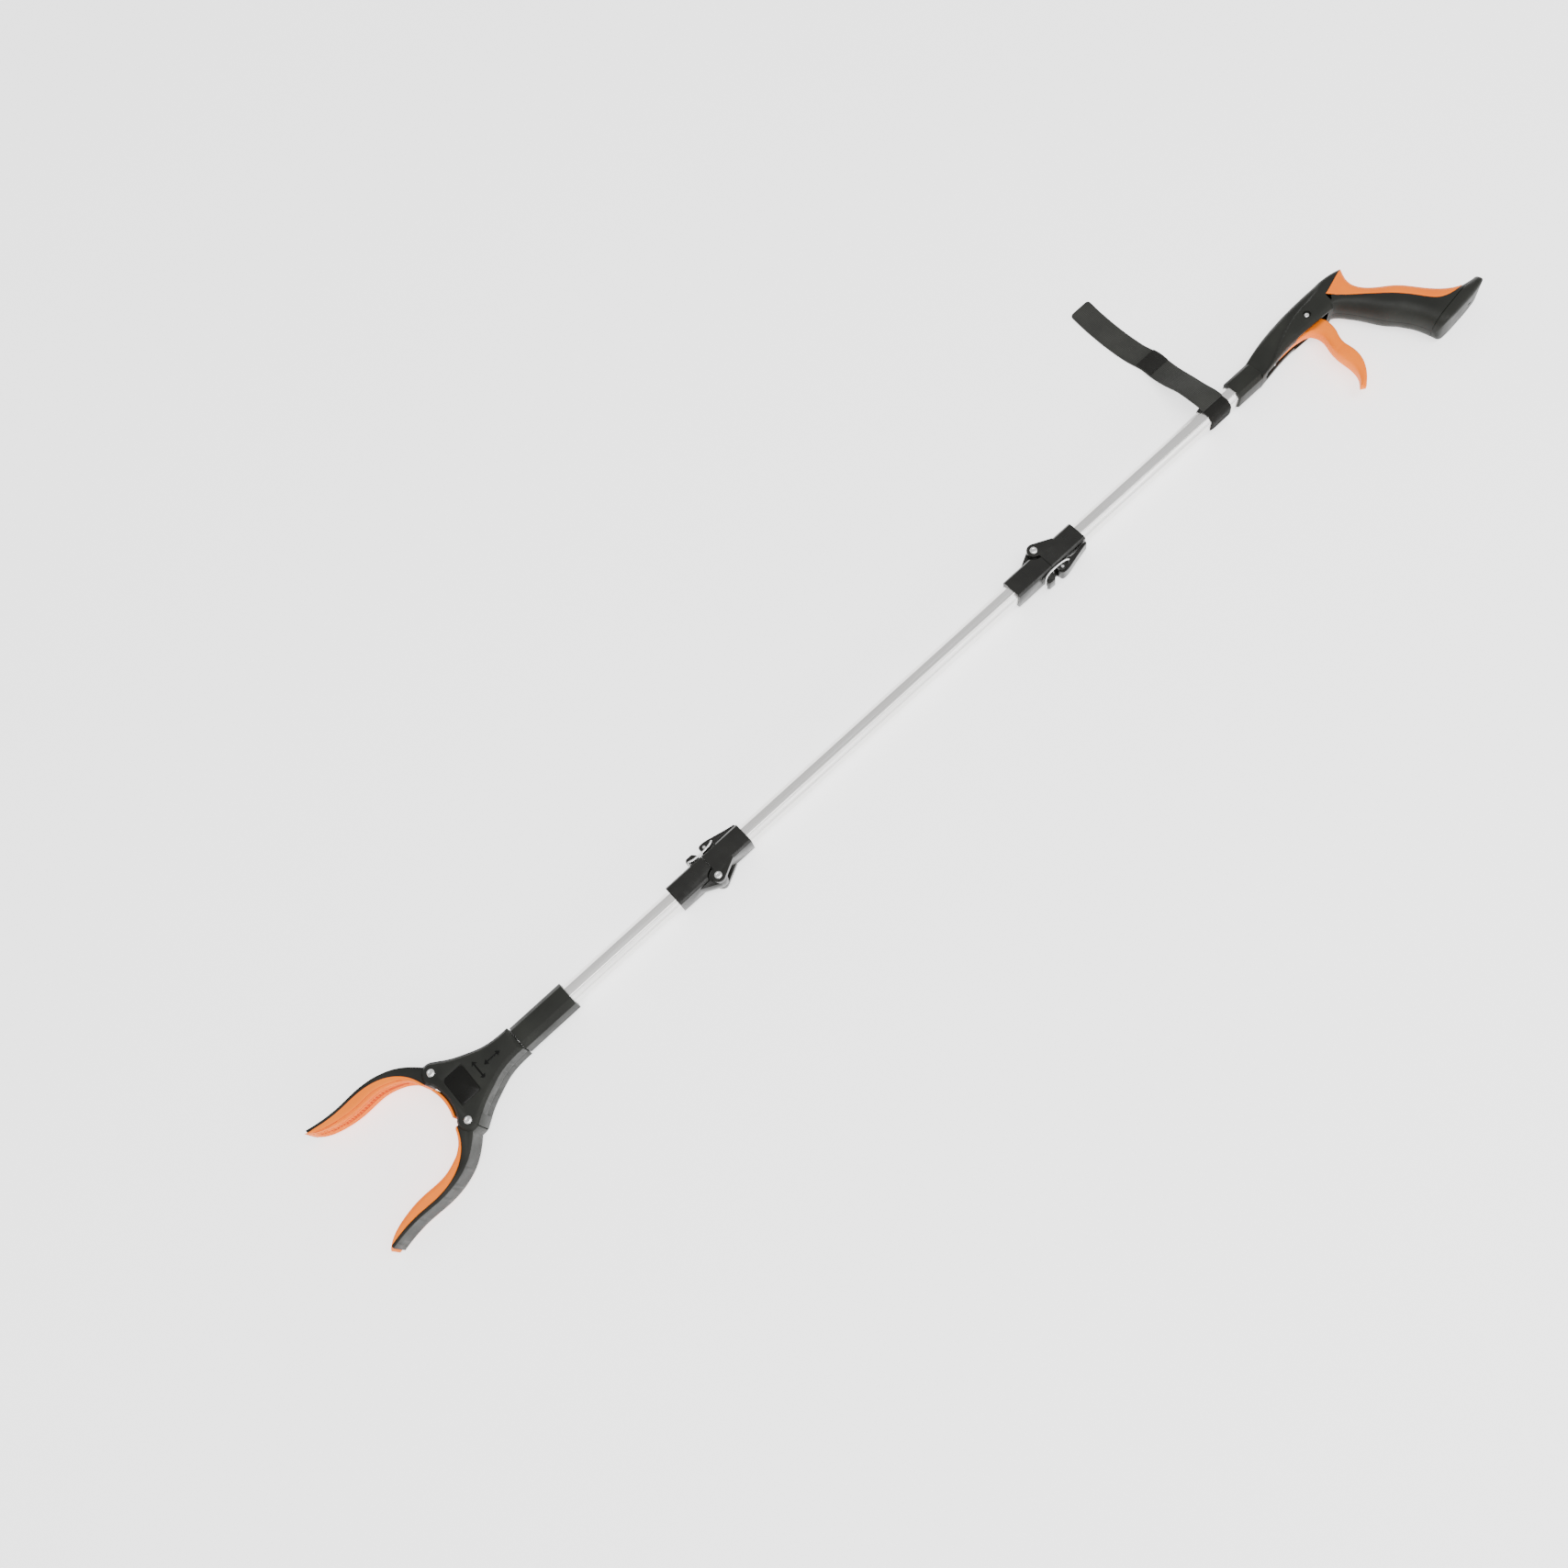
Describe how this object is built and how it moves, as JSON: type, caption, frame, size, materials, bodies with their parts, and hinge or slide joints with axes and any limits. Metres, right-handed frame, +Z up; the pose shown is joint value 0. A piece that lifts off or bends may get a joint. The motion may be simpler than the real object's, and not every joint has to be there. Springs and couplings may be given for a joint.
{
  "type": "reacher grabber",
  "caption": "Folding reacher grabber with a pistol handle, trigger, latched fold joints, faceted aluminium tube and a turning head with two padded jaws.",
  "frame": {"origin": "under the middle of the whole object's box, on the surface that it lies on", "axes": "+X along the tube from the jaws to the handle, +Y towards the handle's spine, +Z up, across the flat of the handle"},
  "size_m": [1.1, 0.2307, 0.029],
  "materials": {
    "charcoal_plastic": "satin moulded plastic",
    "black_plastic": "semi-gloss moulded plastic",
    "plate_black": "smooth plate",
    "orange_rubber": "soft moulded rubber",
    "orange_plastic": "satin moulded plastic",
    "tube_aluminium": "satin anodised",
    "bright_steel": "bright",
    "steel_cable": "stranded wire",
    "charcoal_webbing": "hook-and-loop webbing"
  },
  "bodies": {
    "handle": {"handle_shell_near": "charcoal_plastic", "handle_shell_far": "charcoal_plastic", "back_pad": "orange_rubber", "butt_cap": "charcoal_plastic", "handle_collar": "charcoal_plastic", "handle_screws": "bright_steel", "trigger_pin": "bright_steel", "upper_tube": "tube_aluminium", "strap_loop": "charcoal_webbing", "strap_tail": "charcoal_webbing", "strap_hook_patch": "charcoal_webbing", "fold_one_handle_half": "black_plastic", "fold_one_hinge_pin": "bright_steel", "fold_one_lever_pin": "bright_steel", "cable_bend_one": "steel_cable", "trigger_wire": "steel_cable"},
    "trigger": {"trigger": "orange_plastic", "cable_nipple": "bright_steel"},
    "cable_upper": {"cable_upper": "steel_cable"},
    "latch_lever_one": {"fold_one_latch_lever": "black_plastic"},
    "latch_bail_one": {"fold_one_latch_bail": "bright_steel"},
    "middle_section": {"fold_one_jaw_half": "black_plastic", "middle_tube": "tube_aluminium", "fold_two_handle_half": "black_plastic", "fold_two_hinge_pin": "bright_steel", "fold_two_lever_pin": "bright_steel", "cable_bend_two": "steel_cable"},
    "cable_middle": {"cable_middle": "steel_cable"},
    "latch_lever_two": {"fold_two_latch_lever": "black_plastic"},
    "latch_bail_two": {"fold_two_latch_bail": "bright_steel"},
    "lower_section": {"fold_two_jaw_half": "black_plastic", "lower_tube": "tube_aluminium", "head_sleeve": "charcoal_plastic"},
    "cable_lower": {"cable_lower": "steel_cable"},
    "swivel": {"swivel_spigot": "bright_steel"},
    "head": {"head_shell_near": "charcoal_plastic", "head_shell_far": "charcoal_plastic", "head_blank_plate": "plate_black", "jaw_rivets": "bright_steel", "throat_pad": "orange_rubber", "jaw_spring": "bright_steel"},
    "yoke": {"jaw_yoke": "charcoal_plastic"},
    "jaw_upper": {"jaw_frame_upper": "charcoal_plastic", "jaw_pad_upper": "orange_rubber", "drive_pin_upper": "bright_steel"},
    "jaw_lower": {"jaw_frame_lower": "charcoal_plastic", "jaw_pad_lower": "orange_rubber", "drive_pin_lower": "bright_steel"}
  },
  "joints": [
    {"name": "trigger_squeeze", "type": "hinge", "parent": "handle", "child": "trigger", "pos_m": [0.4325, -0.0327, 0.0145], "axis": [0, 0, 1], "range_deg": [0, 18], "stiffness_Nm_per_rad": 0.25, "springref_deg": -14.32, "deforming": ["trigger_wire"]},
    {"name": "cable_upper_pull", "type": "slide", "parent": "handle", "child": "cable_upper", "axis": [1, 0, 0], "range_m": [0, 0.0075]},
    {"name": "fold_one", "type": "hinge", "parent": "handle", "child": "middle_section", "pos_m": [0.1395, -0.0252, 0.0145], "axis": [0, 0, -1], "range_deg": [0, 172], "deforming": ["cable_bend_one", "strap_tail"]},
    {"name": "latch_one_open", "type": "hinge", "parent": "handle", "child": "latch_lever_one", "pos_m": [0.146, -0.0497, 0.0145], "axis": [0, 0, -1], "range_deg": [0, 98.5]},
    {"name": "bail_one_swing", "type": "hinge", "parent": "latch_lever_one", "child": "latch_bail_one", "pos_m": [0.153, -0.049, 0.0145], "axis": [0, 0, 1], "range_deg": [0, 195]},
    {"name": "cable_middle_pull", "type": "slide", "parent": "middle_section", "child": "cable_middle", "axis": [1, 0, 0], "range_m": [0, 0.0075]},
    {"name": "fold_two", "type": "hinge", "parent": "middle_section", "child": "lower_section", "pos_m": [-0.206, -0.0482, 0.0145], "axis": [0, 0, 1], "range_deg": [0, 170], "deforming": ["cable_bend_two"]},
    {"name": "latch_two_open", "type": "hinge", "parent": "middle_section", "child": "latch_lever_two", "pos_m": [-0.1995, -0.0237, 0.0145], "axis": [0, 0, 1], "range_deg": [0, 98.5]},
    {"name": "bail_two_swing", "type": "hinge", "parent": "latch_lever_two", "child": "latch_bail_two", "pos_m": [-0.1925, -0.0244, 0.0145], "axis": [0, 0, -1], "range_deg": [0, 195]},
    {"name": "cable_lower_pull", "type": "slide", "parent": "lower_section", "child": "cable_lower", "axis": [1, 0, 0], "range_m": [0, 0.0075]},
    {"name": "head_pull", "type": "slide", "parent": "lower_section", "child": "swivel", "axis": [-1, 0, 0], "range_m": [0, 0.005], "stiffness_N_per_m": 1500, "springref_m": -0.003},
    {"name": "head_turn", "type": "hinge", "parent": "swivel", "child": "head", "pos_m": [-0.392, -0.0367, 0.0145], "axis": [1, 0, 0], "range_deg": [0, 90]},
    {"name": "yoke_pull", "type": "slide", "parent": "head", "child": "yoke", "axis": [1, 0, 0], "range_m": [0, 0.0075], "deforming": ["jaw_spring"]},
    {"name": "jaw_upper_close", "type": "hinge", "parent": "head", "child": "jaw_upper", "pos_m": [-0.4534, -0.0141, 0.0145], "axis": [0, 0, 1], "range_deg": [0, 30]},
    {"name": "jaw_lower_close", "type": "hinge", "parent": "head", "child": "jaw_lower", "pos_m": [-0.4534, -0.0593, 0.0145], "axis": [0, 0, -1], "range_deg": [0, 30]}
  ],
  "couplings": [
    {"joint": "cable_upper_pull", "follows": "trigger_squeeze", "m_per_rad": 0.022918},
    {"joint": "cable_middle_pull", "follows": "trigger_squeeze", "m_per_rad": 0.022918},
    {"joint": "cable_lower_pull", "follows": "trigger_squeeze", "m_per_rad": 0.022918},
    {"joint": "yoke_pull", "follows": "trigger_squeeze", "m_per_rad": 0.022918},
    {"joint": "jaw_upper_close", "follows": "trigger_squeeze", "ratio": 1.6666},
    {"joint": "jaw_lower_close", "follows": "trigger_squeeze", "ratio": 1.6666},
    {"joint": "latch_one_open", "follows": "fold_one", "ratio": 0.57},
    {"joint": "bail_one_swing", "follows": "fold_one", "ratio": 1.13},
    {"joint": "latch_two_open", "follows": "fold_two", "ratio": 0.57},
    {"joint": "bail_two_swing", "follows": "fold_two", "ratio": 1.13}
  ]
}
